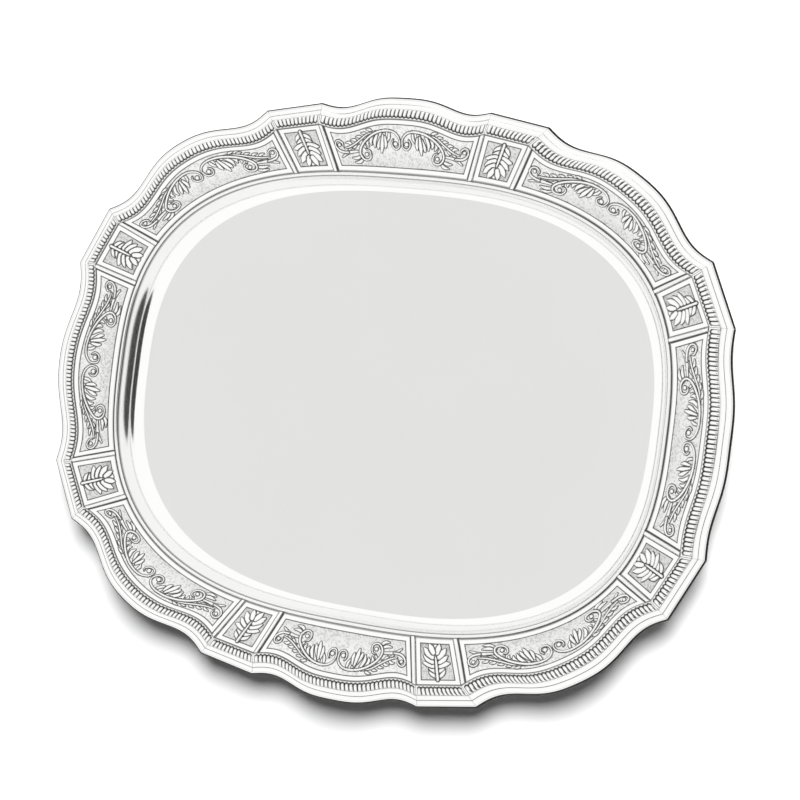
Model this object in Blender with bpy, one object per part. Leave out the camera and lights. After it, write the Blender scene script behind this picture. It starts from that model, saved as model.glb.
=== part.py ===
"""Oval serving tray in polished silver, with an applied border of stamped panels.

The tray is a raised sheet plate: a flat well, a steep shoulder and a wide flange that slopes
up to a waved edge. Eight short leaf panels and eight long scroll panels sit on the flange.
A plain bead closes them on the inside, a gadroon strip and a plain rim moulding on the outside.
Every length of border is mitred to the next one on a line that runs out from the well.

Frame: +X along the length, +Y across, +Z up. The origin is on the surface that the tray stands
on, under its middle. Lengths are in metres, angles in degrees.
"""

import math

import bmesh
import bpy
from mathutils import Vector

# ---- Overall plan: the oval on which the rim's mitred corners lie -----------------------------
CORNER_OVAL_LENGTH = 0.4050
CORNER_OVAL_WIDTH = 0.3328
RIM_OVAL_POWER = 2.4       # 2 is an ellipse, larger is squarer
INNER_OVAL_POWER = 2.7
WELL_OVAL_POWER = 2.6

# ---- Bands of the border, measured in plan ------------------------------------------------------
OUTER_BAND_ENDS = 0.0124   # gadroon strip and rim moulding together
OUTER_BAND_SIDES = 0.0131
PANEL_BAND_ENDS = 0.0246   # the stamped panels
PANEL_BAND_SIDES = 0.0253
SHOULDER_ENDS = 0.0108     # bead and wall, from the panels to the flat well
SHOULDER_SIDES = 0.0072

# ---- Heights above the surface that the tray stands on -----------------------------------------
SHEET = 0.0012
PANEL_OUTER_HEIGHT = 0.0298
PANEL_INNER_HEIGHT = 0.0176
RIM_DROP = 0.0043          # rim edge below the panels' outer edge

# ---- Where the leaf panels stand, as directions from the tray's middle -------------------------
END_LEAF_ANGLE = 22.3
END_LEAF_HALF_ANGLE = 4.2
SIDE_LEAF_ANGLE = 67.5
SIDE_LEAF_HALF_ANGLE = 4.5
RIM_FLARE_ANGLE = 1.0      # the mitres open by this much at the rim

# ---- Waves of the outer edge: outward (bulge) and upward (lift), first, third, fifth -----------
END_BULGE = (0.0044, 0.0014, -0.0006)
END_LIFT = (-0.0012, 0.0027)
SIDE_BULGE = (0.0039, 0.0021, -0.0009)
SIDE_LIFT = (0.0000, 0.0019)
CORNER_BULGE = (0.0088, 0.0029, -0.0010)
CORNER_LIFT = (0.0003, 0.0020)

# ---- Applied pieces -----------------------------------------------------------------------------
CLEARANCE = 0.0003         # solder gap between pieces that stand side by side
SEAT_CLEARANCE = 0.00036   # upright gap under a piece that lies on the sloping flange
PANEL_THICKNESS = 0.0016
FRAME_WIDTH = 0.0026       # raised frame around each panel's field
FIELD_DEPTH = 0.0007
FIELD_SLOPE = 0.0004
BEAD_DIAMETER = 0.0018
GADROON_WIDTH = 0.0085
GADROON_HEIGHT = 0.0014
GADROON_FOOT = 0.0012      # plain fillet each side of the half-round
RIM_LIP = 0.0011
RIM_THICKNESS = 0.0013

# ---- Facets -------------------------------------------------------------------------------------
END_STEPS = 8
SIDE_STEPS = 8
CORNER_STEPS = 10
LEAF_STEPS = 1
BEAD_SIDES = 6
WALL_STEPS = 4

SILVER = (0.90, 0.90, 0.885)


# ---- Plan curves --------------------------------------------------------------------------------
def on_oval(half_length, half_width, power, angle, height):
    """Point of a superellipse in the direction given by angle."""
    c, s = math.cos(math.radians(angle)), math.sin(math.radians(angle))
    reach = (abs(c / half_length) ** power + abs(s / half_width) ** power) ** (-1.0 / power)
    return Vector((reach * c, reach * s, height))


def rim_corner(angle):
    return on_oval(CORNER_OVAL_LENGTH / 2, CORNER_OVAL_WIDTH / 2, RIM_OVAL_POWER, angle,
                   PANEL_OUTER_HEIGHT - RIM_DROP)


def outer_corner(angle):
    return on_oval(CORNER_OVAL_LENGTH / 2 - OUTER_BAND_ENDS, CORNER_OVAL_WIDTH / 2 - OUTER_BAND_SIDES,
                   RIM_OVAL_POWER, angle, PANEL_OUTER_HEIGHT)


def inner_point(angle):
    return on_oval(CORNER_OVAL_LENGTH / 2 - OUTER_BAND_ENDS - PANEL_BAND_ENDS,
                   CORNER_OVAL_WIDTH / 2 - OUTER_BAND_SIDES - PANEL_BAND_SIDES,
                   INNER_OVAL_POWER, angle, PANEL_INNER_HEIGHT)


def well_point(angle):
    return on_oval(CORNER_OVAL_LENGTH / 2 - OUTER_BAND_ENDS - PANEL_BAND_ENDS - SHOULDER_ENDS,
                   CORNER_OVAL_WIDTH / 2 - OUTER_BAND_SIDES - PANEL_BAND_SIDES - SHOULDER_SIDES,
                   WELL_OVAL_POWER, angle, SHEET)


def wave(strengths, u):
    """Sum of odd cosine waves, each zero at both ends (u = -1 and u = 1)."""
    return sum(s * math.cos((2 * k + 1) * math.pi * u / 2) for k, s in enumerate(strengths))


class Section:
    """One length of border between two mitres. u runs along it from -1 to 1."""

    def __init__(self, name, start, end, kind, bulge, lift, steps):
        self.name, self.start, self.end, self.kind = name, start, end, kind
        self.bulge, self.lift, self.steps = bulge, lift, steps
        flare = RIM_FLARE_ANGLE if kind == "leaf" else -RIM_FLARE_ANGLE
        self.outer_ends = outer_corner(start), outer_corner(end)
        self.rim_ends = rim_corner(start - flare), rim_corner(end + flare)

    def angle(self, u):
        return self.start + (self.end - self.start) * (u + 1) / 2

    def waved(self, ends, u):
        chord = ends[1] - ends[0]
        outward = Vector((chord.y, -chord.x, 0.0)).normalized()
        lifted = Vector((0.0, 0.0, wave(self.lift, u)))
        return ends[0].lerp(ends[1], (u + 1) / 2) + outward * wave(self.bulge, u) + lifted

    def across_panel(self, u, t):
        """t is 0 at the panels' inner edge and 1 at their outer edge."""
        return inner_point(self.angle(u)).lerp(self.waved(self.outer_ends, u), t)

    def across_outer(self, u, t):
        """t is 0 at the panels' outer edge and 1 at the rim."""
        return self.waved(self.outer_ends, u).lerp(self.waved(self.rim_ends, u), t)

    def panel_length(self):
        return (inner_point(self.end) - inner_point(self.start)).length

    def frame_end(self):
        """Where the raised frame across the panel's ends stops and the field starts."""
        return 1 - 2 * FRAME_WIDTH / self.panel_length()

    def places(self):
        """Places of the facets' edges along the section, with both mitres."""
        field = self.frame_end()
        return [-1.0] + [field * (2 * k / self.steps - 1) for k in range(self.steps + 1)] + [1.0]

    def cut_places(self):
        """The same places, cut back from both mitres by half a clearance each."""
        last = 1 - 1.1 * CLEARANCE / self.panel_length()
        return [-last] + self.places()[1:-1] + [last]


def border_sections():
    """The sixteen lengths of border, counter-clockwise from the right-hand end."""
    near_end, far_end = END_LEAF_ANGLE - END_LEAF_HALF_ANGLE, END_LEAF_ANGLE + END_LEAF_HALF_ANGLE
    far_side, near_side = SIDE_LEAF_ANGLE - SIDE_LEAF_HALF_ANGLE, SIDE_LEAF_ANGLE + SIDE_LEAF_HALF_ANGLE
    flat = ((0.0,), (0.0,), LEAF_STEPS)
    end = (END_BULGE, END_LIFT, END_STEPS)
    side = (SIDE_BULGE, SIDE_LIFT, SIDE_STEPS)
    corner = (CORNER_BULGE, CORNER_LIFT, CORNER_STEPS)
    plan = [
        ("right_end", -near_end, near_end, "scroll", end),
        ("right_end_back", near_end, far_end, "leaf", flat),
        ("back_right_corner", far_end, far_side, "scroll", corner),
        ("back_side_right", far_side, near_side, "leaf", flat),
        ("back_side", near_side, 180 - near_side, "scroll", side),
        ("back_side_left", 180 - near_side, 180 - far_side, "leaf", flat),
        ("back_left_corner", 180 - far_side, 180 - far_end, "scroll", corner),
        ("left_end_back", 180 - far_end, 180 - near_end, "leaf", flat),
        ("left_end", 180 - near_end, 180 + near_end, "scroll", end),
        ("left_end_front", 180 + near_end, 180 + far_end, "leaf", flat),
        ("front_left_corner", 180 + far_end, 180 + far_side, "scroll", corner),
        ("front_side_left", 180 + far_side, 180 + near_side, "leaf", flat),
        ("front_side", 180 + near_side, 360 - near_side, "scroll", side),
        ("front_side_right", 360 - near_side, 360 - far_side, "leaf", flat),
        ("front_right_corner", 360 - far_side, 360 - far_end, "scroll", corner),
        ("right_end_front", 360 - far_end, 360 - near_end, "leaf", flat),
    ]
    return [Section(name, a, b, kind, *shape) for name, a, b, kind, shape in plan]


# ---- Mesh helpers -------------------------------------------------------------------------------
def silver_material(name, roughness):
    material = bpy.data.materials.new(name)
    material.use_nodes = True
    surface = material.node_tree.nodes["Principled BSDF"]
    surface.inputs["Base Color"].default_value = (*SILVER, 1.0)
    surface.inputs["Metallic"].default_value = 1.0
    surface.inputs["Roughness"].default_value = roughness
    material.diffuse_color = (*SILVER, 1.0)
    return material


def finish_object(name, bm, roughness, smooth_angle=40.0):
    bmesh.ops.triangulate(bm, faces=bm.faces, quad_method="SHORT_EDGE")
    bmesh.ops.recalc_face_normals(bm, faces=bm.faces)
    mesh = bpy.data.meshes.new(name)
    bm.to_mesh(mesh)
    bm.free()
    mesh.shade_smooth()
    mesh.set_sharp_from_angle(angle=math.radians(smooth_angle))
    mesh.materials.append(silver_material(name, roughness))
    made = bpy.data.objects.new(name, mesh)
    bpy.context.collection.objects.link(made)
    return made


def loop_edges(bm, ring):
    return [bm.edges.get((a, b)) for a, b in zip(ring, ring[1:] + ring[:1])]


def first_ring(bm, points):
    """A closed loop of edges through the points."""
    ring = bmesh.ops.create_circle(bm, segments=len(points), radius=1.0)["verts"]
    for vert, point in zip(ring, points):
        vert.co = point
    return ring


def grow_ring(bm, ring, points):
    """Extrude a closed loop of edges, and move the new loop to its points."""
    made = bmesh.ops.extrude_edge_only(bm, edges=loop_edges(bm, ring))["geom"]
    fresh = {g for g in made if isinstance(g, bmesh.types.BMVert)}
    grown = [next(e.other_vert(v) for e in v.link_edges if e.other_vert(v) in fresh) for v in ring]
    for vert, point in zip(grown, points):
        vert.co = point
    return grown


def capped_rings(rings):
    """A closed body through rings of points, with a face over the first and the last."""
    bm = bmesh.new()
    grown = [first_ring(bm, rings[0])]
    for points in rings[1:]:
        grown.append(grow_ring(bm, grown[-1], points))
    for ring in (grown[0], grown[-1]):
        bmesh.ops.contextual_create(bm, geom=loop_edges(bm, ring))
    bmesh.ops.recalc_face_normals(bm, faces=bm.faces)
    return bm, grown


# ---- Tray plate ---------------------------------------------------------------------------------
def seat_depth():
    return PANEL_THICKNESS + SEAT_CLEARANCE


def frame_share():
    return FRAME_WIDTH / (0.5 * (PANEL_BAND_ENDS + PANEL_BAND_SIDES))


def bead_seat_width():
    return BEAD_DIAMETER + 2 * CLEARANCE


def outer_share(width):
    """Share of the outer band that a width measured across it takes up."""
    return width / (0.5 * (OUTER_BAND_ENDS + OUTER_BAND_SIDES))


def inward(section, u):
    """Level unit vector from the panels' inner edge towards the well, and the distance."""
    angle = section.angle(u)
    run = well_point(angle) - inner_point(angle)
    run.z = 0.0
    return run.normalized(), run.length


def wall_curve(section, u):
    """Points down the wall, from the bead's seat to the flat well."""
    step, run = inward(section, u)
    top = inner_point(section.angle(u)) + step * bead_seat_width()
    top.z = PANEL_INNER_HEIGHT - seat_depth()
    foot = well_point(section.angle(u))
    run -= bead_seat_width()
    drop = Vector((0.0, 0.0, top.z - foot.z))
    handles = top + step * (0.10 * run) - drop * 0.50, foot - step * (0.80 * run)
    points = []
    for k in range(WALL_STEPS + 1):
        t = k / WALL_STEPS
        s = 1 - t
        points.append(top * s ** 3 + handles[0] * (3 * s * s * t) + handles[1] * (3 * s * t * t)
                      + foot * t ** 3)
    return points


def plate_profile(section, u):
    """Upper face of the plate, from its outer edge in to the flat well."""
    down = Vector((0.0, 0.0, -seat_depth()))
    edge = section.across_outer(u, outer_share(GADROON_WIDTH)) + down
    shares = (1.0, 1 - frame_share(), 0.5, frame_share(), 0.0)
    return [edge, *(section.across_panel(u, t) + down for t in shares), *wall_curve(section, u)]


def underside(section, u, profile):
    """The plate's lower face: each point of the upper face moved by the sheet's thickness."""
    step, _ = inward(section, u)
    lower = []
    for k, point in enumerate(profile):
        ahead = profile[min(k + 1, len(profile) - 1)] - profile[max(k - 1, 0)]
        along, rise = ahead.dot(step), ahead.z
        if k == len(profile) - 1:
            along, rise = 1.0, 0.0
        size = math.hypot(along, rise)
        lower.append(point + SHEET * (step * (rise / size) - Vector((0.0, 0.0, along / size))))
    return lower


def make_plate(sections):
    stations = [(s, u) for s in sections for u in s.places()[:-1]]
    profiles = [plate_profile(s, u) for s, u in stations]
    lowers = [underside(s, u, p) for (s, u), p in zip(stations, profiles)]
    rings = [list(ring) for ring in zip(*profiles)][::-1] + [list(ring) for ring in zip(*lowers)]
    bm, _ = capped_rings(rings)
    return finish_object("tray_plate", bm, 0.12, 35.0)


# ---- Bead around the well -----------------------------------------------------------------------
def bead_point(section, u, turn):
    step, _ = inward(section, u)
    radius = BEAD_DIAMETER / 2
    centre = inner_point(section.angle(u)) + step * (CLEARANCE + radius)
    centre.z += CLEARANCE + radius - seat_depth()
    return centre + step * (radius * math.cos(turn)) + Vector((0, 0, radius * math.sin(turn)))


def make_bead(sections):
    stations = [(s, u) for s in sections for u in s.places()[:-1]]
    turns = [2 * math.pi * (k + 0.5) / BEAD_SIDES for k in range(BEAD_SIDES)]
    rings = [[bead_point(s, u, turn) for s, u in stations] for turn in turns]
    bm = bmesh.new()
    ring = first_ring(bm, rings[0])
    for points in rings[1:] + rings[:1]:
        ring = grow_ring(bm, ring, points)
    bmesh.ops.remove_doubles(bm, verts=bm.verts, dist=1e-6)
    return finish_object("shoulder_bead", bm, 0.10, 80.0)


# ---- Panels, gadroon strips and rim mouldings ---------------------------------------------------
def make_panel(section):
    """A flat stamped panel with a raised frame around a sunk field."""
    gap = 0.5 * CLEARANCE / (0.5 * (PANEL_BAND_ENDS + PANEL_BAND_SIDES))
    frame = frame_share()
    across = (gap, frame, 0.5, 1 - frame, 1 - gap)
    down = Vector((0.0, 0.0, -PANEL_THICKNESS))

    def outline(u):
        upper = [section.across_panel(u, t) for t in across]
        return upper + [point + down for point in reversed(upper)]

    bm, rings = capped_rings([outline(u) for u in section.cut_places()])
    field = {vert for ring in rings[1:-1] for vert in ring[1:4]}
    faces = [f for f in bm.faces if all(v in field for v in f.verts)]
    bmesh.ops.inset_region(bm, faces=faces, thickness=FIELD_SLOPE, depth=-FIELD_DEPTH,
                           use_boundary=True, use_even_offset=True)
    return finish_object(f"{section.kind}_panel_{section.name}", bm, 0.22, 25.0)


def outer_outline(section, u, shape):
    """Points of a cross-section given by its shares of the outer band and its heights."""
    return [section.across_outer(u, t) + Vector((0.0, 0.0, z)) for t, z in shape]


def make_gadroon_strip(section):
    """Half-round strip with a plain fillet on each side."""
    start, stop = 0.5 * CLEARANCE, GADROON_WIDTH - 0.5 * CLEARANCE
    low, high = start + GADROON_FOOT, stop - GADROON_FOOT
    half, middle = (high - low) / 2, (high + low) / 2
    arc = [(middle - half * math.cos(a), GADROON_HEIGHT * math.sin(a))
           for a in (math.radians(d) for d in (0, 35, 90, 145, 180))]
    shape = [(start, 0.0), *arc, (stop, 0.0), (stop, -PANEL_THICKNESS), (start, -PANEL_THICKNESS)]

    bm, _ = capped_rings([outer_outline(section, u, [(outer_share(d), z) for d, z in shape])
                          for u in section.cut_places()])
    return finish_object(f"gadroon_strip_{section.name}", bm, 0.15, 50.0)


def make_rim_moulding(section):
    """Plain sloping moulding that ends in a rounded lip."""
    start = outer_share(GADROON_WIDTH + 0.5 * CLEARANCE)
    lip = outer_share(RIM_LIP)
    shape = [(start, 0.0), (1 - 1.6 * lip, 0.0), (1 - 1.2 * lip, 0.35 * RIM_LIP),
             (1 - 0.5 * lip, 0.35 * RIM_LIP), (1.0, -0.3 * RIM_LIP), (1 - 0.4 * lip, -RIM_THICKNESS),
             (start, -RIM_THICKNESS - 0.0006)]

    bm, _ = capped_rings([outer_outline(section, u, shape) for u in section.cut_places()])
    return finish_object(f"rim_moulding_{section.name}", bm, 0.10, 50.0)


def clear_scene():
    for old in list(bpy.data.objects):
        bpy.data.objects.remove(old, do_unlink=True)


def build():
    clear_scene()
    sections = border_sections()
    make_plate(sections)
    make_bead(sections)
    for section in sections:
        make_panel(section)
        make_gadroon_strip(section)
        make_rim_moulding(section)


build()
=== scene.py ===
# %% [markdown]
# # An oval silver serving tray with an applied border
#
# The real tray is one raised sheet: a flat well, a steep shoulder and a wide sloping flange. A
# border is soldered onto the flange: eight short panels with a leaf, eight long panels with
# scrolls, a bead on their inner side, a strip of small tongues and a plain rim outside. This
# lesson lays fine surfaces over the plain CAD solids, and then makes the silver and the light.

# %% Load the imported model
import math

import bmesh
import bpy
import numpy as np
from mathutils import Matrix, Vector


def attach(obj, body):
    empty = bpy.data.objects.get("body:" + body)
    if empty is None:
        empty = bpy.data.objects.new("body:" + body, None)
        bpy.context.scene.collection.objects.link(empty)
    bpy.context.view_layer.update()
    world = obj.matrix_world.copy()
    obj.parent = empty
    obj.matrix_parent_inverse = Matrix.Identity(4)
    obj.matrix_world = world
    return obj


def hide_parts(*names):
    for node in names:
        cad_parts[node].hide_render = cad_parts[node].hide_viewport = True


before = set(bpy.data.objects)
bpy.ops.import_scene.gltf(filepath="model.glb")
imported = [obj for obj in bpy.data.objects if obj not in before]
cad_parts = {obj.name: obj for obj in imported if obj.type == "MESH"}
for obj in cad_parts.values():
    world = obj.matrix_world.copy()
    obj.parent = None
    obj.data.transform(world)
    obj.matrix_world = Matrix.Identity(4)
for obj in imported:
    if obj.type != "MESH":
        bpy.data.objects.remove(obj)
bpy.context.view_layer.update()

# %% [markdown]
# ## The plan of the border
#
# Three ovals carry the border: the inner edge of the panels, their outer edge and the rim. The
# ovals are superellipses, which are a little squarer than ellipses. Sixteen mitres cut the
# border into lengths. Along each long length, the outer edge swings out and up on a few cosine
# waves that die away at the mitres, which is how a shaped rim is drawn on paper.

# %% The plan's sizes, in metres and degrees
MM = 0.001
RIM_HALF = (202.5 * MM, 166.4 * MM)
OUTER_BAND = (12.4 * MM, 13.1 * MM)
PANEL_BAND = (24.6 * MM, 25.3 * MM)
SHOULDER = (10.8 * MM, 7.2 * MM)
RIM_POWER, INNER_POWER, WELL_POWER = 2.4, 2.7, 2.6

SHEET = 1.2 * MM
OUTER_HEIGHT = 29.8 * MM
INNER_HEIGHT = 17.6 * MM
RIM_DROP = 4.3 * MM
PANEL_THICKNESS = 1.6 * MM
SEAT_CLEARANCE = 0.36 * MM
SEAT = PANEL_THICKNESS + SEAT_CLEARANCE
GAP = 0.3 * MM
MITRE_GAP = 0.12 * MM

OUTER_HALF = tuple(r - b for r, b in zip(RIM_HALF, OUTER_BAND))
INNER_HALF = tuple(r - b for r, b in zip(OUTER_HALF, PANEL_BAND))
WELL_HALF = tuple(r - b for r, b in zip(INNER_HALF, SHOULDER))
FLAT_INSET = 1.2 * MM

END_BULGE, END_LIFT = (4.4, 1.4, -0.6), (-1.2, 2.7)
SIDE_BULGE, SIDE_LIFT = (3.9, 2.1, -0.9), (0.0, 1.9)
CORNER_BULGE, CORNER_LIFT = (8.8, 2.9, -1.0), (0.3, 2.0)
RIM_FLARE = 1.0
END_NEAR, END_FAR, SIDE_FAR, SIDE_NEAR = 18.1, 26.5, 63.0, 72.0

print("flat well in mm:", [round(2000 * h, 1) for h in WELL_HALF])


# %% A point on an oval, and the lengths of border
def on_oval(half, power, degrees, height):
    """Points of a superellipse in the given directions, as rows of x, y, z."""
    angle = np.radians(np.asarray(degrees, float))
    c, s = np.cos(angle), np.sin(angle)
    reach = (np.abs(c / half[0]) ** power + np.abs(s / half[1]) ** power) ** (-1 / power)
    return np.stack([reach * c, reach * s, np.full_like(reach, height)], -1)


def waves(strengths, u):
    """Odd cosine waves, strengths in millimetres, nought at u = -1 and u = 1."""
    return sum(s * MM * np.cos((2 * k + 1) * np.pi * u / 2) for k, s in enumerate(strengths))


class Length:
    """One length of the border between two mitres. u runs from -1 to 1 along it."""

    def __init__(self, name, start, end, kind, bulge=(0.0,), lift=(0.0,)):
        self.name, self.start, self.end, self.kind = name, start, end, kind
        self.bulge, self.lift = bulge, lift
        flare = RIM_FLARE if kind == "leaf" else -RIM_FLARE
        self.outer_ends = on_oval(OUTER_HALF, RIM_POWER, [start, end], OUTER_HEIGHT)
        self.rim_ends = on_oval(RIM_HALF, RIM_POWER, [start - flare, end + flare],
                                OUTER_HEIGHT - RIM_DROP)

    def angle(self, u):
        return self.start + (self.end - self.start) * (u + 1) / 2

    def waved(self, ends, u):
        chord = ends[1] - ends[0]
        outward = np.array([chord[1], -chord[0], 0.0]) / np.hypot(chord[0], chord[1])
        line = ends[0] + chord * ((u + 1) / 2)[..., None]
        up = np.array([0.0, 0.0, 1.0])
        return line + outward * waves(self.bulge, u)[..., None] + up * waves(self.lift, u)[..., None]

    def panel(self, u, t):
        """t is 0 at the panels' inner edge and 1 at their outer edge."""
        inner = on_oval(INNER_HALF, INNER_POWER, self.angle(u), INNER_HEIGHT)
        return inner + (self.waved(self.outer_ends, u) - inner) * t[..., None]

    def outer(self, u, t):
        """t is 0 at the panels' outer edge and 1 at the rim."""
        start = self.waved(self.outer_ends, u)
        return start + (self.waved(self.rim_ends, u) - start) * t[..., None]

    def last(self):
        """The place, just short of the mitre, where a piece ends."""
        ends = on_oval(INNER_HALF, INNER_POWER, [self.start, self.end], INNER_HEIGHT)
        return 1 - MITRE_GAP / np.linalg.norm(ends[1] - ends[0])


def border_lengths():
    """The sixteen lengths, counter-clockwise from the right-hand end."""
    end = ("scroll", END_BULGE, END_LIFT)
    side = ("scroll", SIDE_BULGE, SIDE_LIFT)
    corner = ("scroll", CORNER_BULGE, CORNER_LIFT)
    leaf = ("leaf",)
    return [Length(*row[:3], *row[3]) for row in [
        ("right_end", -END_NEAR, END_NEAR, end),
        ("right_end_back", END_NEAR, END_FAR, leaf),
        ("back_right_corner", END_FAR, SIDE_FAR, corner),
        ("back_side_right", SIDE_FAR, SIDE_NEAR, leaf),
        ("back_side", SIDE_NEAR, 180 - SIDE_NEAR, side),
        ("back_side_left", 180 - SIDE_NEAR, 180 - SIDE_FAR, leaf),
        ("back_left_corner", 180 - SIDE_FAR, 180 - END_FAR, corner),
        ("left_end_back", 180 - END_FAR, 180 - END_NEAR, leaf),
        ("left_end", 180 - END_NEAR, 180 + END_NEAR, end),
        ("left_end_front", 180 + END_NEAR, 180 + END_FAR, leaf),
        ("front_left_corner", 180 + END_FAR, 180 + SIDE_FAR, corner),
        ("front_side_left", 180 + SIDE_FAR, 180 + SIDE_NEAR, leaf),
        ("front_side", 180 + SIDE_NEAR, 360 - SIDE_NEAR, side),
        ("front_side_right", 360 - SIDE_NEAR, 360 - SIDE_FAR, leaf),
        ("front_right_corner", 360 - SIDE_FAR, 360 - END_FAR, corner),
        ("right_end_front", 360 - END_FAR, 360 - END_NEAR, leaf)]]


LENGTHS = border_lengths()
print("lengths of border:", len(LENGTHS))


# %% [markdown]
# ## Laying a grid on the border
#
# Low relief is a height above a smooth sheet. So each panel starts as a flat grid from
# create_grid, its corners of cells are moved onto the border's sloping surface, and each is
# then pushed along the surface's own normal by the relief's height there. The long edges are
# extruded down by the panel's thickness and bridged below, and the two ends are filled.

# %% Helpers for grids
def put_points(verts, points):
    """Move the vertices, in their own order, to rows of x, y, z."""
    for vert, point in zip(verts, points.reshape(-1, 3).tolist()):
        vert.co = point


def normals_of(points):
    """Unit normals of a grid of points, rows along the border and columns across it."""
    along = np.gradient(points, axis=0)
    across = np.gradient(points, axis=1)
    normal = np.cross(across, along)
    normal /= np.linalg.norm(normal, axis=-1, keepdims=True)
    return normal * np.sign(normal[..., 2:3])


def steps_of(points, axis):
    """Running distance along one axis of a grid of points."""
    gaps = np.linalg.norm(np.diff(points, axis=axis), axis=-1)
    run = np.cumsum(gaps, axis=axis)
    return np.concatenate([np.zeros_like(np.take(run, [0], axis=axis)), run], axis=axis)


def ramp(x, low, high):
    """Smooth step from 0 at low to 1 at high."""
    t = np.clip((x - low) / (high - low), 0, 1)
    return t * t * (3 - 2 * t)


def grid_piece(name, points, drop, masks, material, node):
    """A closed piece whose upper side is a grid of points and whose lower side is plain."""
    rows, columns = points.shape[:2]
    bm = bmesh.new()
    layers = {key: bm.verts.layers.float.new(key) for key in masks}
    verts = bmesh.ops.create_grid(bm, x_segments=columns - 1, y_segments=rows - 1, size=1.0)["verts"]
    put_points(verts, points)
    for key, values in masks.items():
        for vert, value in zip(verts, values.ravel().tolist()):
            vert[layers[key]] = value
    edges = []
    for column in (0, columns - 1):
        chain = [verts[r * columns + column] for r in range(rows)]
        edge = [bm.edges.get(pair) for pair in zip(chain, chain[1:])]
        grown = bmesh.ops.extrude_edge_only(bm, edges=edge)["geom"]
        low = [g for g in grown if isinstance(g, bmesh.types.BMVert)]
        bmesh.ops.translate(bm, verts=low, vec=(0, 0, -drop))
        low = set(low)
        edges += [g for g in grown if isinstance(g, bmesh.types.BMEdge) and set(g.verts) <= low]
    bmesh.ops.bridge_loops(bm, edges=edges)
    bmesh.ops.holes_fill(bm, edges=[e for e in bm.edges if e.is_boundary])
    bmesh.ops.recalc_face_normals(bm, faces=bm.faces)
    return finish_piece(name, bm, material, node)


def finish_piece(name, bm, material, node, sharp=50.0):
    mesh = bpy.data.meshes.new(name)
    bm.to_mesh(mesh)
    bm.free()
    mesh.shade_smooth()
    mesh.set_sharp_from_angle(angle=math.radians(sharp))
    mesh.materials.append(material)
    piece = bpy.data.objects.new(name, mesh)
    bpy.context.collection.objects.link(piece)
    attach(piece, "root")
    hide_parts(node)
    return piece


# %% [markdown]
# ## The silver
#
# Polished silver shows what stands around it, so its colour is nearly white and its detail is
# fine: hairlines from years of cloths, a slow drift in polish, and a dark sulphide left in every
# hollow. The hairlines and the drift are one node group. The dark hollows follow the relief,
# so the pieces carry them as an attribute, and each material mixes its dark colour by it. The
# same attribute carries painted shade as well: the rim's outer lip, the tongues' rounded flanks
# and the inner side of the panels' fields are painted darker where shade would fall.

# %% A node group for worn polish
def new_group(name, inputs, outputs):
    group = bpy.data.node_groups.new(name, "ShaderNodeTree")
    for label, kind, value in inputs:
        socket = group.interface.new_socket(label, in_out="INPUT", socket_type=kind)
        socket.default_value = value
    for label, kind in outputs:
        group.interface.new_socket(label, in_out="OUTPUT", socket_type=kind)
    return group, group.nodes.new("NodeGroupInput"), group.nodes.new("NodeGroupOutput")


def node(tree, kind, links=(), **settings):
    """Add a node, set its attributes, and link or set its inputs."""
    made = tree.nodes.new(kind)
    for key, value in settings.items():
        setattr(made, key, value)
    for label, value in links:
        if isinstance(value, bpy.types.NodeSocket):
            tree.links.new(value, made.inputs[label])
        else:
            made.inputs[label].default_value = value
    return made


def polish_group():
    group, given, put = new_group(
        "Worn polish",
        [("Scale", "NodeSocketFloat", 1.0), ("Low", "NodeSocketFloat", 0.05),
         ("High", "NodeSocketFloat", 0.12)],
        [("Roughness", "NodeSocketFloat"), ("Height", "NodeSocketFloat"),
         ("Drift", "NodeSocketFloat")])
    place = node(group, "ShaderNodeTexCoord").outputs["Object"]
    lines = []
    for turn, stretch in ((0.5, (900.0, 14.0, 60.0)), (-0.9, (700.0, 11.0, 60.0))):
        mapped = node(group, "ShaderNodeMapping", [
            ("Vector", place), ("Rotation", (0.0, 0.0, turn)), ("Scale", stretch)])
        noise = node(group, "ShaderNodeTexNoise", [
            ("Vector", mapped.outputs[0]), ("Scale", given.outputs["Scale"]), ("Detail", 2.0)])
        lines.append(noise.outputs["Fac"])
    both = node(group, "ShaderNodeMath", [(0, lines[0]), (1, lines[1])], operation="MULTIPLY")
    hair = node(group, "ShaderNodeMapRange", [
        ("Value", both.outputs[0]), ("From Min", 0.28), ("From Max", 0.42)])
    slow = node(group, "ShaderNodeTexNoise", [("Vector", place), ("Scale", 14.0), ("Detail", 3.0)])
    span = node(group, "ShaderNodeMath", [
        (0, given.outputs["High"]), (1, given.outputs["Low"])], operation="SUBTRACT")
    mixed = node(group, "ShaderNodeMath", [
        (0, hair.outputs[0]), (1, 0.45), (2, slow.outputs["Fac"])], operation="MULTIPLY_ADD")
    rough = node(group, "ShaderNodeMath", [
        (0, mixed.outputs[0]), (1, span.outputs[0]), (2, given.outputs["Low"])],
        operation="MULTIPLY_ADD")
    group.links.new(rough.outputs[0], put.inputs["Roughness"])
    group.links.new(hair.outputs[0], put.inputs["Height"])
    group.links.new(slow.outputs["Fac"], put.inputs["Drift"])
    return group


POLISH = polish_group()
print("node group:", POLISH.name)


# %% The silver's materials
PUNCH_SCALE = 1500.0  # punch marks to the metre


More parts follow.
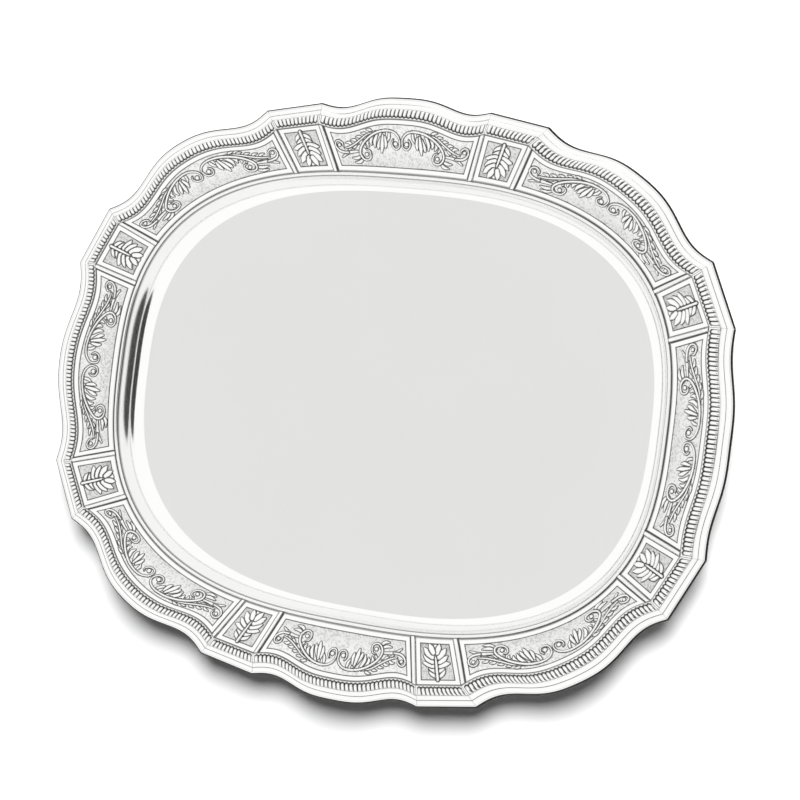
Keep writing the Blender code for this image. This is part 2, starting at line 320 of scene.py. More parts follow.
def silver(name, bright, warm, dark, low, high, bump, marks=False, stipple=False):
    """bright to warm is the metal's drift in colour, dark colours both the tarnish in hollows and the
    painted shade.
    """
    material = bpy.data.materials.new(name)
    material.use_nodes = True
    tree = material.node_tree
    surface = tree.nodes["Principled BSDF"]
    surface.inputs["Metallic"].default_value = 1.0
    polish = node(tree, "ShaderNodeGroup", node_tree=POLISH)
    polish.inputs["Low"].default_value = low
    polish.inputs["High"].default_value = high
    colour = node(tree, "ShaderNodeMix", [
        (0, polish.outputs["Drift"]), (6, (*bright, 1.0)), (7, (*warm, 1.0))], data_type="RGBA")
    colour, rough, height = colour.outputs[2], polish.outputs["Roughness"], polish.outputs["Height"]
    if marks:
        recess = node(tree, "ShaderNodeAttribute", attribute_name="recess").outputs["Fac"]
        colour = node(tree, "ShaderNodeMix", [(0, recess), (6, colour), (7, (*dark, 1.0))],
                      data_type="RGBA").outputs[2]
        rough = node(tree, "ShaderNodeMath", [(0, recess), (1, 0.35), (2, rough)],
                     operation="MULTIPLY_ADD").outputs[0]
    if stipple:
        ground = node(tree, "ShaderNodeAttribute", attribute_name="ground").outputs["Fac"]
        place = node(tree, "ShaderNodeTexCoord").outputs["Object"]
        punch = node(tree, "ShaderNodeTexVoronoi", [("Vector", place), ("Scale", PUNCH_SCALE)])
        deep = node(tree, "ShaderNodeMath", [(0, punch.outputs["Distance"]), (1, ground)],
                    operation="MULTIPLY")
        height = node(tree, "ShaderNodeMath", [(0, deep.outputs[0]), (1, 2.0), (2, height)],
                      operation="MULTIPLY_ADD").outputs[0]
        rough = node(tree, "ShaderNodeMath", [(0, ground), (1, 0.22), (2, rough)],
                     operation="MULTIPLY_ADD").outputs[0]
    bumped = node(tree, "ShaderNodeBump", [
        ("Height", height), ("Strength", bump), ("Distance", 0.00002)])
    tree.links.new(colour, surface.inputs["Base Color"])
    tree.links.new(rough, surface.inputs["Roughness"])
    tree.links.new(bumped.outputs[0], surface.inputs["Normal"])
    return material


# The dark colour is used for the tarnish in hollows and for the painted shade.
BRIGHT, WARM, TARNISH_AND_SHADE = (0.95, 0.95, 0.945), (0.91, 0.91, 0.90), (0.025, 0.024, 0.023)
POLISHED = silver("Polished silver", BRIGHT, WARM, TARNISH_AND_SHADE, 0.06, 0.12, 0.15)
# This silver has tarnish in the bead's seat and painted shade on the rim's dark outer lip.
TARNISHED_AND_SHADED = silver("Polished silver with worn edges", BRIGHT, WARM, TARNISH_AND_SHADE, 0.08, 0.15, 0.15, marks=True)
CHASED = silver("Chased silver", BRIGHT, WARM, TARNISH_AND_SHADE, 0.14, 0.24, 0.2, marks=True, stipple=True)
TONGUED = silver("Gadroon silver", BRIGHT, WARM, TARNISH_AND_SHADE, 0.12, 0.2, 0.15, marks=True)


# %% [markdown]
# ## The tray plate
#
# The plate is raised from one sheet, so its section is one line: the flange, a seat for the
# bead, the wall and the flat well. The line is offset by the sheet's
# thickness to give the underside, and both are carried round the tray as rings. Each ring is
# the loop before it, extruded and moved, so the plate stays one closed skin.

# %% The plate's section
WALL_STEPS = 14
BEAD = 1.8 * MM
BEAD_SEAT = BEAD + 2 * GAP
FOOT_SLOPE = math.tan(math.radians(14.0))
FOOT_HANDLE, TOP_HANDLE = 0.80, 0.10
GADROON = 8.5 * MM
BAND_MEAN = 0.5 * (OUTER_BAND[0] + OUTER_BAND[1])
AROUND = {"scroll": 56, "leaf": 10}
UPPER_SEAT = 14


def plate_section(length, u):
    """The upper line of the plate at each place u, as columns of points from rim to well."""
    down = np.array([0.0, 0.0, -SEAT])
    angle = length.angle(u)
    inner = on_oval(INNER_HALF, INNER_POWER, angle, INNER_HEIGHT)
    well = on_oval(WELL_HALF, WELL_POWER, angle, SHEET)
    step = (well - inner) * np.array([1, 1, 0])
    step /= np.linalg.norm(step, axis=-1, keepdims=True)
    well = well + step * FLAT_INSET
    run = np.linalg.norm((well - inner)[:, :2], axis=-1, keepdims=True)
    columns = [length.outer(u, np.full_like(u, GADROON * f / BAND_MEAN)) + down
               for f in (1.0, 0.97, 0.5, 0.0)]
    columns += [length.panel(u, np.full_like(u, t)) + down for t in np.linspace(0.95, 0.05, 8)]
    top = inner + down + step * BEAD_SEAT
    columns += [inner + down, top]
    drop = np.array([0.0, 0.0, 1.0]) * (top[:, 2:3] - well[:, 2:3])
    handle_a = top + step * TOP_HANDLE * (run - BEAD_SEAT) - drop * 0.5
    rise = np.array([0.0, 0.0, FOOT_SLOPE]) * FOOT_HANDLE * (run - BEAD_SEAT)
    handle_b = well - step * FOOT_HANDLE * (run - BEAD_SEAT) + rise
    for t in np.linspace(0, 1, WALL_STEPS + 1)[1:-1]:
        s = 1 - t
        columns.append(top * s ** 3 + handle_a * 3 * s * s * t + handle_b * 3 * s * t * t
                       + well * t ** 3)
    columns += [well, well + step * 0.2 * MM, well + step * 2 * MM]
    return np.stack(columns, 1), step


def offset_down(section, step):
    """The underside: each point moved by the sheet's thickness, square to the line."""
    ahead = np.gradient(section, axis=1)
    along = (ahead * step[:, None, :]).sum(-1)
    rise = ahead[..., 2]
    along[:, -3:], rise[:, -3:] = 1.0, 0.0
    size = np.hypot(along, rise)
    up = np.array([0.0, 0.0, 1.0])
    move = step[:, None, :] * (rise / size)[..., None] - up * (along / size)[..., None]
    lower = section + SHEET * move
    lower[:, -3:, 2] = 0.0
    return lower


# %% The plate's rings
def loop_edges(bm, ring):
    return [bm.edges.get((a, b)) for a, b in zip(ring, ring[1:] + ring[:1])]


def grow(bm, ring, points):
    """Extrude a closed loop and move the new loop to its points."""
    made = bmesh.ops.extrude_edge_only(bm, edges=loop_edges(bm, ring))["geom"]
    fresh = {g for g in made if isinstance(g, bmesh.types.BMVert)}
    ring = [next(e.other_vert(v) for e in v.link_edges if e.other_vert(v) in fresh) for v in ring]
    put_points(ring, points)
    return ring


def round_places(length):
    count = AROUND[length.kind]
    return np.linspace(-1, 1, count + 1)[:-1]


def make_plate():
    sections, lowers = [], []
    for length in LENGTHS:
        section, step = plate_section(length, round_places(length))
        sections.append(section)
        lowers.append(offset_down(section, step))
    upper, lower = np.concatenate(sections), np.concatenate(lowers)
    rings = [upper[:, k] for k in reversed(range(upper.shape[1]))]
    rings += [lower[:, k] for k in range(lower.shape[1])]
    bm = bmesh.new()
    recess = bm.verts.layers.float.new("recess")
    ring = bmesh.ops.create_circle(bm, segments=len(rings[0]), radius=1.0)["verts"]
    put_points(ring, rings[0])
    bmesh.ops.contextual_create(bm, geom=loop_edges(bm, ring))
    seat = upper.shape[1] - UPPER_SEAT
    for k, points in enumerate(rings[1:], 1):
        ring = grow(bm, ring, points)
        if seat <= k <= seat + 1:
            for vert in ring:
                vert[recess] = 0.6
    bmesh.ops.contextual_create(bm, geom=loop_edges(bm, ring))
    bmesh.ops.recalc_face_normals(bm, faces=bm.faces)
    return finish_piece("tray_plate_fine", bm, TARNISHED_AND_SHADED, "tray_plate", 60.0)


plate = make_plate()
print("plate faces:", len(plate.data.polygons))


# %% [markdown]
# ## The bead
#
# A drawn wire closes the joint between the shoulder and the panels. It is one ring of round
# section, made like the plate: loops carried round the tray, with the last welded to the first.

# %% The bead's rings
BEAD_SIDES = 12


def make_bead():
    loops = [[] for _ in range(BEAD_SIDES)]
    for length in LENGTHS:
        u = round_places(length)
        inner = on_oval(INNER_HALF, INNER_POWER, length.angle(u), INNER_HEIGHT)
        well = on_oval(WELL_HALF, WELL_POWER, length.angle(u), INNER_HEIGHT)
        step = (well - inner) / np.linalg.norm(well - inner, axis=-1, keepdims=True)
        centre = inner + step * (GAP + BEAD / 2)
        centre[:, 2] += GAP + BEAD / 2 - SEAT
        for k in range(BEAD_SIDES):
            turn = 2 * math.pi * k / BEAD_SIDES
            up = np.array([0.0, 0.0, BEAD / 2 * math.sin(turn)])
            loops[k].append(centre + step * (BEAD / 2 * math.cos(turn)) + up)
    rings = [np.concatenate(parts) for parts in loops]
    bm = bmesh.new()
    ring = bmesh.ops.create_circle(bm, segments=len(rings[0]), radius=1.0)["verts"]
    put_points(ring, rings[0])
    for points in rings[1:] + rings[:1]:
        ring = grow(bm, ring, points)
    bmesh.ops.remove_doubles(bm, verts=bm.verts, dist=1e-6)
    bmesh.ops.recalc_face_normals(bm, faces=bm.faces)
    return finish_piece("shoulder_bead_fine", bm, POLISHED, "shoulder_bead")


bead = make_bead()
print("bead faces:", len(bead.data.polygons))


# %% [markdown]
# ## Strokes of relief
#
# A chaser draws scrolls and leaves stroke by stroke, each with a fine dark line round it where
# the punch has set it down. The same is done here. A stroke is a smooth curve on the panel with
# a width that swells and tapers. Where a vertex lies under it, its height becomes the stroke's
# round back, and just outside the stroke it sinks into a narrow dark line. A later stroke
# overlays an earlier one, as one lobe of a leaf overlays the next.

# %% Drawing one stroke
OUTLINE = 0.55 * MM


def smooth_curve(points, count):
    """A Catmull-Rom curve through rows of numbers."""
    points = np.asarray(points, float)
    padded = np.concatenate([2 * points[:1] - points[1:2], points, 2 * points[-1:] - points[-2:-1]])
    spans = len(points) - 1
    x = np.linspace(0, spans, count)
    k = np.minimum(x.astype(int), spans - 1)
    t = (x - k)[:, None]
    a, b, c, d = (padded[k + j] for j in range(4))
    return 0.5 * (2 * b + (c - a) * t + (2 * a - 5 * b + 4 * c - d) * t * t
                  + (3 * b - a - 3 * c + d) * t ** 3)


def draw_stroke(relief, path, widths, height):
    """Lay a stroke over the relief. path is rows of x, y, z, widths its half widths."""
    base, level, dark, ground = (relief[k] for k in ("base", "height", "recess", "ground"))
    reach = widths.max() + OUTLINE
    low, high = path.min(0) - reach, path.max(0) + reach
    near = np.nonzero(((base[..., :2] > low[:2]) & (base[..., :2] < high[:2])).all(-1))
    if len(near[0]) == 0:
        return
    spots = base[near]
    gaps = np.linalg.norm(spots[:, None, :] - path[None, :, :], axis=-1)
    best = (gaps - widths[None, :]).argmin(1)
    rows = np.arange(len(best))
    outside = gaps[rows, best] - widths[best]
    back = np.sqrt(np.clip(1 - (gaps[rows, best] / widths[best]) ** 2, 0, 1))
    inside = outside < 0
    rim = (outside >= 0) & (outside < OUTLINE)
    rows_in = tuple(axis[inside] for axis in near)
    level[rows_in] = relief["floor"] + height * (0.35 + 0.65 * back[inside])
    dark[rows_in] = 0.28 * (1 - back[inside]) ** 2
    ground[rows_in] = 0.0
    rows_rim = tuple(axis[rim] for axis in near)
    share = 1 - outside[rim] / OUTLINE
    dark[rows_rim] = np.maximum(dark[rows_rim], ramp(share, 0.0, 0.35) * relief["ink"])
    level[rows_rim] = np.minimum(level[rows_rim], relief["floor"] - 0.12 * MM * share)
    ground[rows_rim] = 0.0


# %% [markdown]
# ## The panels
#
# Both kinds of panel have a raised frame round a sunk field. The frame's height is worked out
# from the distance to each edge, and the lowest of the four is kept, which mitres its corners.
# The long panels also carry a raised rib at each end, where they meet the short ones.

# %% The frame and the field
CELL = 0.23 * MM
FIELD_DEPTH = 0.75 * MM
FRAME = 2.3 * MM
GROOVE = 0.45 * MM
RIB = 2.2 * MM
RIB_HEIGHT = 0.45 * MM
PUNCH = 3
LEAF_SHADE = 0.16
PUNCH_DEPTH = 0.22 * MM
PANEL_SKIRT = PANEL_THICKNESS - 0.45 * MM


def frame_height(distance):
    """Height of the frame's section at a distance from the panel's edge."""
    crest = np.sqrt(np.clip(1 - ((distance - GROOVE - FRAME / 2) / (FRAME / 2)) ** 2, 0, 1))
    height = -0.45 * MM + 0.45 * MM * crest ** 0.7
    sunk = ramp(distance, GROOVE + FRAME, GROOVE + FRAME + 0.35 * MM)
    return height * (1 - sunk) - FIELD_DEPTH * sunk


def frame_dark(distance, edge=0.85):
    """Tarnish in the two grooves beside the frame."""
    groove = 1 - ramp(np.abs(distance - 0.5 * GROOVE), 0.20 * MM, 0.42 * MM)
    foot = 1 - ramp(np.abs(distance - GROOVE - FRAME - 0.30 * MM), 0.16 * MM, 0.42 * MM)
    return np.maximum(edge * groove, 0.92 * foot)


def stipple(shape, rng):
    """Punch marks a few cells wide: 1 in a mark, 0 between the marks."""
    coarse = rng.random((shape[0] // PUNCH + 2, shape[1] // PUNCH + 2))
    fine = np.kron(coarse, np.ones((PUNCH, PUNCH)))
    soft = sum(np.roll(fine, (a, b), (0, 1)) for a in range(PUNCH) for b in range(PUNCH))
    return ramp(soft[:shape[0], :shape[1]] / PUNCH ** 2, 0.45, 0.85)


def blank_panel(length, rng):
    """A panel's grid with its frame, its ribs and a stippled field."""
    last = length.last()
    middle = length.panel(np.linspace(-last, last, 60), np.full(60, 0.5))
    long_way = np.linalg.norm(np.diff(middle, axis=0), axis=-1).sum()
    rows = int(long_way * 1.12 / CELL) // 2 * 2 + 1
    columns = int(PANEL_BAND[0] * 1.12 / CELL)
    margin = 0.5 * GAP / PANEL_BAND[0]
    u, t = np.meshgrid(np.linspace(-last, last, rows), np.linspace(margin, 1 - margin, columns),
                       indexing="ij")
    base = length.panel(u, t)
    across, along = steps_of(base, 1), steps_of(base, 0)
    inner, outer = across, across[:, -1:] - across
    ends = np.minimum(along, along[-1:] - along)
    rib = RIB + GROOVE if length.kind == "scroll" else 0.0
    height = np.minimum(np.minimum(frame_height(inner), frame_height(outer)),
                        frame_height(np.maximum(ends - rib, 0)))
    edge = np.minimum(np.minimum(inner, outer), np.where(ends > rib, ends - rib, 1.0))
    dark = frame_dark(edge, np.where(inner <= edge, 0.35, 0.85))
    field = ramp(edge, GROOVE + FRAME + 0.3 * MM, GROOVE + FRAME + 0.5 * MM)
    grain = stipple(base.shape[:2], rng)
    height -= field * grain * PUNCH_DEPTH
    deep = LEAF_SHADE if length.kind == "leaf" else 0.0
    # The field is painted darker towards its inner edge: painted shade. The punch marks add tarnish.
    shade = 0.02 + deep + 0.12 * (1 - ramp(t, 0.08, 0.55)) + 0.20 * grain
    dark = np.maximum(dark, field * shade)
    if rib:
        inside = ends < rib
        crest = np.sqrt(np.clip(1 - ((ends - RIB / 2) / (RIB / 2)) ** 2, 0, 1))
        height = np.where(inside, -0.45 * MM + (0.45 * MM + RIB_HEIGHT) * crest ** 0.7, height)
        groove = 1 - ramp(np.abs(ends - RIB - 0.5 * GROOVE), 0.16 * MM, 0.4 * MM)
        dark = np.where(inside, 0.9 * groove, dark)
    return {"base": base, "u": u, "t": t, "height": height, "recess": dark, "ground": field,
            "floor": -FIELD_DEPTH, "ink": 0.92, "last": last, "rib": rib}


def field_place(length, relief, s, t):
    """A place in the field, s from -1 to 1 along it and t from 0 to 1 across it."""
    half = length.panel(np.array([-relief["last"], relief["last"]]), np.full(2, 0.5))
    size = np.linalg.norm(half[1] - half[0]) / 2
    margin = (relief["rib"] + GROOVE + FRAME) / size
    edge = (GROOVE + FRAME) / PANEL_BAND[0]
    return length.panel(np.asarray(s) * (1 - margin), edge + np.asarray(t) * (1 - 2 * edge))


def draw(length, relief, points, height, count=70):
    """Draw a stroke given as rows of s, t and half width in millimetres, and its mirror."""
    curve = smooth_curve(points, count)
    for side in (1, -1):
        path = field_place(length, relief, side * curve[:, 0], curve[:, 1])
        draw_stroke(relief, path, np.maximum(curve[:, 2], 0.12) * MM, height)


# %% [markdown]
# ## The leaf
#
# The short panels hold one upright acanthus leaf. Its foot stands on the outer frame and its
# tip touches the inner one. Lobes are laid from the foot to the tip, in pairs, so each overlaps
# the one below, and the stem comes last with a dark line on each side.

# %% A leaf panel
LEAF_HEIGHT = 0.75 * MM
LEAF_BODY = [(0.0, 0.97, 1.2), (0.0, 0.72, 2.4), (0.0, 0.45, 3.4), (0.0, 0.25, 3.2), (0.0, 0.12, 2.0)]
LEAF_LOBES = [
    [(0.16, 0.90, 0.8), (0.34, 0.82, 1.1), (0.48, 0.72, 0.3)],
    [(0.16, 0.76, 0.9), (0.32, 0.70, 1.1), (0.46, 0.68, 0.3)],
    [(0.22, 0.62, 1.3), (0.50, 0.56, 1.6), (0.80, 0.54, 0.4)],
    [(0.22, 0.52, 1.1), (0.50, 0.43, 1.4), (0.74, 0.34, 0.35)],
    [(0.20, 0.38, 1.3), (0.46, 0.26, 1.7), (0.68, 0.14, 0.4)],
    [(0.12, 0.26, 1.2), (0.24, 0.13, 1.4), (0.32, 0.03, 0.4)],
]
LEAF_STEM = [(0.00, 1.00, 0.75), (0.00, 0.70, 0.70), (0.00, 0.48, 0.60), (0.00, 0.38, 0.4)]


def make_leaf_panel(length, rng):
    relief = blank_panel(length, rng)
    draw(length, relief, LEAF_BODY, LEAF_HEIGHT * 0.7)
    for lobe in LEAF_LOBES:
        draw(length, relief, lobe, LEAF_HEIGHT)
    draw(length, relief, LEAF_STEM, LEAF_HEIGHT * 1.15)
    return place_panel(length, relief)


def place_panel(length, relief):
    lifted = relief["base"] + normals_of(relief["base"]) * relief["height"][..., None]
    name = f"{length.kind}_panel_{length.name}"
    masks = {"recess": np.clip(relief["recess"], 0, 1), "ground": np.clip(relief["ground"], 0, 1)}
    return grid_piece(name + "_fine", lifted, PANEL_SKIRT, masks, CHASED,
                      name)


rng = np.random.default_rng(11)
for length in LENGTHS:
    if length.kind == "leaf":
        panel = make_leaf_panel(length, rng)
print("faces in a leaf panel:", len(panel.data.polygons))

# %% [markdown]
# ## The scrolls
#
# Each long panel holds two scrolls that mirror each other. A stem rolls out of a small volute
# at the middle, arches along the outer side and curls inward into a larger volute. Lobes hang
# from the arch, a feathered frond follows the outer edge, and a tail runs on to a fishtail.

# %% A scroll panel
SCROLL_HEIGHT = 0.65 * MM
LOBES_UNDER_ARCH = [
    [(0.56, 0.62, 0.4), (0.565, 0.55, 0.6), (0.540, 0.48, 0.3)],
    [(0.49, 0.71, 0.5), (0.515, 0.61, 0.7), (0.500, 0.52, 0.3)],
    [(0.42, 0.77, 0.5), (0.460, 0.65, 0.8), (0.455, 0.55, 0.3)],
    [(0.17, 0.83, 0.5), (0.180, 0.70, 0.7), (0.210, 0.60, 0.3)],
    [(0.35, 0.80, 0.6), (0.400, 0.63, 0.9), (0.405, 0.48, 0.3)],
    [(0.25, 0.82, 0.8), (0.280, 0.64, 1.5), (0.305, 0.50, 1.2)],
    [(0.24, 0.72, 0.6), (0.235, 0.56, 0.9), (0.245, 0.46, 0.4)],
    [(0.30, 0.70, 0.6), (0.345, 0.54, 0.9), (0.360, 0.44, 0.4)],
    [(0.27, 0.76, 0.5), (0.295, 0.50, 1.0), (0.310, 0.35, 0.4)],
]
VOLUTE_BOSSES = [
    [(0.083, 0.555, 1.15), (0.084, 0.555, 1.15)],
    [(0.548, 0.320, 1.0), (0.549, 0.320, 1.0)],
    [(0.922, 0.640, 0.9), (0.923, 0.640, 0.9)],
]
STEM = [(0.115, 0.66, 0.25), (0.138, 0.58, 0.38), (0.124, 0.48, 0.42), (0.080, 0.43, 0.42),
        (0.034, 0.47, 0.42), (0.018, 0.58, 0.42), (0.030, 0.70, 0.45), (0.085, 0.81, 0.5),
        (0.16, 0.86, 0.55), (0.25, 0.865, 0.6), (0.35, 0.84, 0.6), (0.46, 0.77, 0.6),
        (0.56, 0.65, 0.6), (0.625, 0.50, 0.6), (0.640, 0.35, 0.55), (0.610, 0.22, 0.5),
        (0.555, 0.17, 0.48), (0.500, 0.21, 0.45), (0.484, 0.32, 0.42), (0.505, 0.42, 0.35),
        (0.545, 0.455, 0.25)]
FROND_STEM = [(0.37, 0.86, 0.3), (0.50, 0.83, 0.4), (0.62, 0.72, 0.45), (0.75, 0.60, 0.45),
              (0.86, 0.54, 0.3)]
FROND = [[(0.42 + 0.075 * k, 0.855 - 0.058 * k - 0.006 * k * k, 0.35),
          (0.455 + 0.078 * k, 0.925 - 0.058 * k, 0.7),
          (0.50 + 0.080 * k, 0.955 - 0.062 * k, 0.2)] for k in range(5)]
FROND_BELOW = [[(0.66 + 0.08 * k, 0.66 - 0.06 * k, 0.35), (0.70 + 0.08 * k, 0.57 - 0.05 * k, 0.6),
                (0.735 + 0.08 * k, 0.53 - 0.05 * k, 0.2)] for k in range(2)]
TAIL = [(0.63, 0.42, 0.5), (0.73, 0.43, 0.6), (0.83, 0.40, 0.8), (0.93, 0.27, 0.3)]
TAIL_CURL = [(0.82, 0.42, 0.5), (0.92, 0.44, 0.6), (0.975, 0.55, 0.5), (0.970, 0.70, 0.45),
             (0.920, 0.77, 0.42), (0.872, 0.70, 0.4), (0.872, 0.60, 0.25)]
LOW_LEAF = [[(0.60, 0.24, 0.4), (0.67, 0.13, 0.8), (0.745, 0.12, 0.25)],
            [(0.62, 0.30, 0.4), (0.70, 0.24, 0.8), (0.775, 0.25, 0.25)]]


def make_scroll_panel(length, rng):
    relief = blank_panel(length, rng)
    for stroke in FROND + FROND_BELOW + [FROND_STEM] + LOW_LEAF + [TAIL] + LOBES_UNDER_ARCH:
        draw(length, relief, stroke, SCROLL_HEIGHT * 0.8)
    draw(length, relief, TAIL_CURL, SCROLL_HEIGHT, 120)
    draw(length, relief, STEM, SCROLL_HEIGHT * 1.05, 420)
    for boss in VOLUTE_BOSSES:
        draw(length, relief, boss, SCROLL_HEIGHT, 2)
    return place_panel(length, relief)


for length in LENGTHS:
    if length.kind == "scroll":
        panel = make_scroll_panel(length, rng)
        print(panel.name, "faces:", len(panel.data.polygons))

# %% [markdown]
# ## The tongues
#
# The gadroon strip is rolled, so it repeats: small tongues side by side, each with a round end
# towards the well and an open end towards the rim. It is a grid as well, with only a few cells
# to a tongue, and the count of tongues is rounded so that a whole number fits each length.

# %% A gadroon strip
TONGUE_PITCH = 2.4 * MM
TONGUE_CELLS = 8
TONGUE_START, TONGUE_END = 1.0 * MM, 5.4 * MM
TONGUE_RISE = 1.1 * MM
STRIP_PLACES = (0.0, 0.35, 0.7, 1.0, 1.3, 1.65, 2.1, 2.8, 3.7, 4.6, 5.1, 5.4, 5.7, 6.1, 7.2, 8.3, 8.5)


def make_gadroon_strip(length):
    last = length.last()
    ends = length.outer(np.linspace(-last, last, 60), np.full(60, 0.3))
    run = np.linalg.norm(np.diff(ends, axis=0), axis=-1).sum()
    rib = 0.8 * MM
    count = round((run - 2 * rib) / TONGUE_PITCH)
    rows = count * TONGUE_CELLS + 1
    places = np.array(STRIP_PLACES) * MM
    shares = (0.5 * GAP + places * (1 - GAP / GADROON)) / BAND_MEAN
    u, t = np.meshgrid(np.linspace(-last, last, rows), shares, indexing="ij")
    base = length.outer(u, t)
    along = steps_of(base, 0)
    across = np.broadcast_to(places, u.shape)
    total = along[-1:]
    phase = (along - rib) / (total - 2 * rib) * count
    end = (phase < 0) | (phase > count)
    side = np.abs(phase - np.floor(phase) - 0.5) * 2
    depth = (across - TONGUE_START) / (TONGUE_END - TONGUE_START)
    tip = np.clip(1 - depth / 0.27, 0, None)
    radius = np.hypot(side, tip)
    within = (depth < 1.001) & ~end
    lobe = np.sqrt(np.clip(1 - radius ** 2, 0, 1)) * within
    belly = np.sin(np.pi * np.clip(depth, 0, 1)) ** 0.6
    ground = within & (radius < 1.3)
    height = 0.25 * MM + TONGUE_RISE * lobe * (0.35 + 0.65 * belly) - 0.3 * MM * ground * (1 - lobe)
    # Each tongue's rounded flanks are painted dark as painted shade; the grounds and darts between
    # the tongues get tarnish.
    dark = ground * ramp(radius, 0.60, 0.90) * 0.95
    height -= 0.4 * MM * (1 - ramp(across, 0, 0.5 * MM))
    height -= 0.35 * MM * ramp(across, TONGUE_END, 6.1 * MM)
    line = 1 - ramp(np.abs(across - 5.7 * MM), 0, 0.5 * MM)
    dark = np.maximum(dark, np.maximum(0.7 * (1 - ramp(across, 0.05 * MM, 0.45 * MM)), 0.55 * line))
    lifted = base + normals_of(base) * height[..., None]
    name = f"gadroon_strip_{length.name}"
    return grid_piece(name + "_fine", lifted, PANEL_THICKNESS - 0.2 * MM, {"recess": dark}, TONGUED,
                      name)


for length in LENGTHS:
    strip = make_gadroon_strip(length)
print("faces in the last strip:", len(strip.data.polygons))

# %% [markdown]
# ## The rim
#
# A plain moulding runs outside the tongues: a thin fillet, a broad slope that falls outwards,
# and a rounded lip. Its section is swept along each length, loop by loop, and capped at the
# mitres, so the creases there stay sharp.

# %% A rim moulding
RIM_STEPS = {"scroll": 48, "leaf": 6}
RIM_SECTION = [  # share of the width, height in millimetres, tarnish and painted shade
    (0.00, -0.10, 0.25), (0.04, -0.10, 0.0), (0.20, -0.13, 0.0), (0.40, -0.12, 0.0),
    (0.56, -0.05, 0.0), (0.62, -0.02, 0.25), (0.66, 0.15, 0.0), (0.70, 0.35, 0.0), (0.74, 0.42, 0.0),
    # The lip's crest, outer face and underside are painted dark: painted shade along the tray's
    # outline.
    (0.77, 0.44, 1.0), (0.88, 0.40, 1.0), (0.95, 0.00, 1.0), (1.00, -0.50, 1.0),
    (0.97, -0.95, 0.8), (0.88, -1.20, 0.2), (0.50, -1.45, 0.1), (0.00, -1.75, 0.1)]


def make_rim_moulding(length):
    start = (GADROON + 0.5 * GAP) / BAND_MEAN
    last = length.last()
    share, lift, dark = np.array(RIM_SECTION).T
    steps = RIM_STEPS[length.kind]
    rings = []
    for u in np.linspace(-last, last, steps + 1):
        ring = length.outer(np.full(len(share), u), start + (1 - start) * share)
        ring[:, 2] += lift * MM
        rings.append(ring)
    bm = bmesh.new()
    recess = bm.verts.layers.float.new("recess")
    ring = bmesh.ops.create_circle(bm, segments=len(share), radius=1.0)["verts"]
    put_points(ring, rings[0])
    first = ring
    every = list(ring)
    for points in rings[1:]:
        ring = grow(bm, ring, points)
        every += ring
    for vert, value in zip(every, np.tile(dark, steps + 1).tolist()):
        vert[recess] = value
    for end in (first, ring):
        bmesh.ops.contextual_create(bm, geom=loop_edges(bm, end))
    bmesh.ops.recalc_face_normals(bm, faces=bm.faces)
    name = f"rim_moulding_{length.name}"
    return finish_piece(name + "_fine", bm, TARNISHED_AND_SHADED, name, 60.0)


for length in LENGTHS:
    moulding = make_rim_moulding(length)
print("faces in the last moulding:", len(moulding.data.polygons))

# %% [markdown]
# ## Floor, light and camera
#
# Silver is lit by what it reflects. The world is a white studio with one grey patch above the
# well, so the flat well reads grey while the sloping border stays white. A soft lamp behind the
# tray throws its shadow towards the front, onto a pale floor.

# %% The floor
FLOOR_HALF = 6.0
FLOOR_TONE = 0.86
FLOOR_GAP = 0.1 * MM  # keeps the floor out of the plane of the tray's base


def make_floor():
    bm = bmesh.new()
    bmesh.ops.create_grid(bm, x_segments=1, y_segments=1, size=FLOOR_HALF,
                          matrix=Matrix.Translation((0.0, 0.0, -FLOOR_GAP)))
    mesh = bpy.data.meshes.new("floor")
    bm.to_mesh(mesh)
    bm.free()
    material = bpy.data.materials.new("Pale floor")
    material.use_nodes = True
    surface = material.node_tree.nodes["Principled BSDF"]
    surface.inputs["Base Color"].default_value = (FLOOR_TONE, FLOOR_TONE, FLOOR_TONE, 1.0)
    surface.inputs["Roughness"].default_value = 0.9
    surface.inputs["Specular IOR Level"].default_value = 0.0
    mesh.materials.append(material)
    floor = bpy.data.objects.new("floor", mesh)
    bpy.context.collection.objects.link(floor)


make_floor()


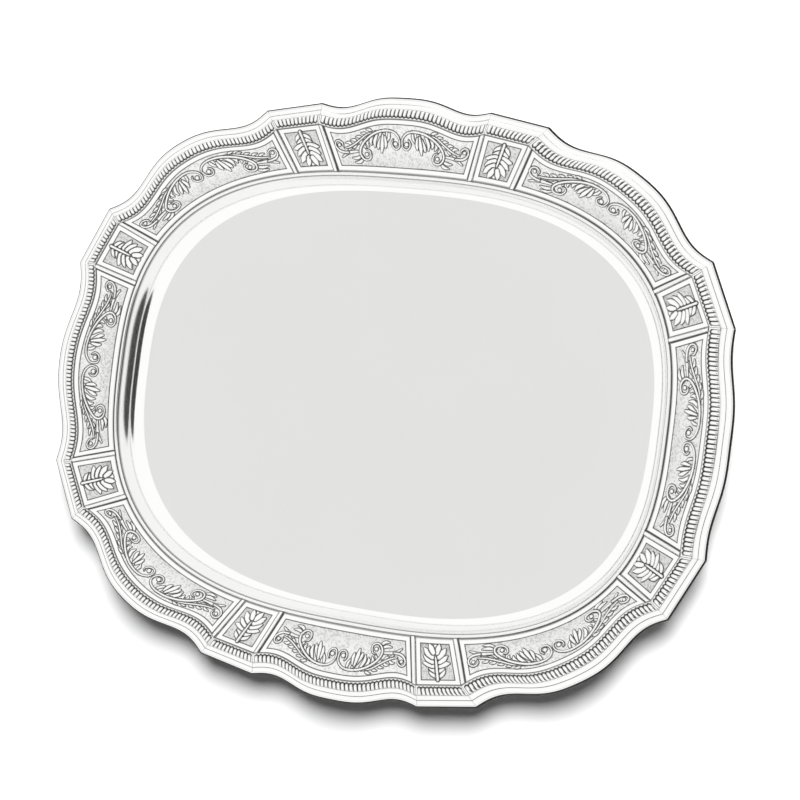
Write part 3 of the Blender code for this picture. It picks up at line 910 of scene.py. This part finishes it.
# %% The world
def make_world():
    world = bpy.data.worlds.new("Studio")
    bpy.context.scene.world = world
    world.use_nodes = True
    tree = world.node_tree
    tree.nodes.clear()
    way = node(tree, "ShaderNodeTexCoord").outputs["Generated"]
    parts = node(tree, "ShaderNodeSeparateXYZ", [("Vector", way)])

    def patch(centre, outer, inner):
        facing = node(tree, "ShaderNodeVectorMath", [
            (0, way), (1, Vector(centre).normalized())], operation="DOT_PRODUCT")
        return node(tree, "ShaderNodeMapRange", [
            ("Value", facing.outputs["Value"]), ("From Min", outer), ("From Max", inner)],
            interpolation_type="SMOOTHSTEP").outputs[0]

    def blend(mask, first, second):
        return node(tree, "ShaderNodeMix", [(0, mask), (6, first), (7, second)],
                    data_type="RGBA").outputs[2]

    studio = blend(patch(*OVER_WELL), grey(WHITE), grey(WELL_GREY))
    band = node(tree, "ShaderNodeMapRange", [
        ("Value", node(tree, "ShaderNodeMath", [(0, parts.outputs["Z"])],
                       operation="ABSOLUTE").outputs[0]),
        ("From Min", 0.10), ("From Max", 0.04)], interpolation_type="SMOOTHSTEP")
    studio = blend(band.outputs[0], studio, grey(HORIZON))
    studio = blend(patch(*DARK_CARD), studio, grey(HORIZON * 0.3))
    paths = node(tree, "ShaderNodeLightPath")
    soft = blend(paths.outputs["Is Diffuse Ray"], studio, grey(FILL))
    seen = blend(paths.outputs["Is Camera Ray"], soft, grey(1.0))
    light = node(tree, "ShaderNodeBackground", [("Color", seen), ("Strength", 1.0)])
    put = node(tree, "ShaderNodeOutputWorld")
    tree.links.new(light.outputs[0], put.inputs["Surface"])


def grey(value):
    return (value, value, value, 1.0)


WHITE, WELL_GREY, HORIZON, FILL = 1.06, 0.815, 0.16, 0.1
# Each patch of sky: its direction, and the cosines of its outer and inner edges.
OVER_WELL = ((-0.33, -0.01, 0.94), 0.966, 0.978)
DARK_CARD = ((0.94, -0.05, 0.34), 0.953, 0.957)
make_world()


# %% The lamp and the camera
def aim(thing, target, roll=0.0):
    """Turn a lamp or a camera so that it looks at the target."""
    way = (Vector(target) - thing.location).to_track_quat("-Z", "Y").to_matrix().to_4x4()
    turned = Matrix.Translation(thing.location) @ way @ Matrix.Rotation(roll, 4, "Z")
    thing.matrix_world = turned


def make_lamp(name, place, target, size, energy):
    data = bpy.data.lights.new(name, "AREA")
    data.shape, data.size, data.energy = "DISK", size, energy
    lamp = bpy.data.objects.new(name, data)
    bpy.context.collection.objects.link(lamp)
    lamp.visible_glossy = False
    lamp.location = place
    aim(lamp, target)


LAMP_PLACE, LAMP_SIZE, LAMP_ENERGY = (0.50, 1.20, 2.1), 1.3, 108.0
make_lamp("soft_key", LAMP_PLACE, (0.0, 0.0, 0.0), LAMP_SIZE, LAMP_ENERGY)

CAMERA_PLACE, CAMERA_TARGET = (0.2893, 0.0110, 0.7931), (0.0093, 0.0018, 0.0)
CAMERA_ROLL, CAMERA_LENS = -84.7, 66.2
camera = bpy.data.objects.new("camera", bpy.data.cameras.new("camera"))
bpy.context.collection.objects.link(camera)
camera.data.sensor_width = 36.0
camera.data.lens = CAMERA_LENS
camera.location = CAMERA_PLACE
aim(camera, CAMERA_TARGET, math.radians(CAMERA_ROLL))
bpy.context.scene.camera = camera
bpy.context.scene.view_settings.view_transform = "Standard"
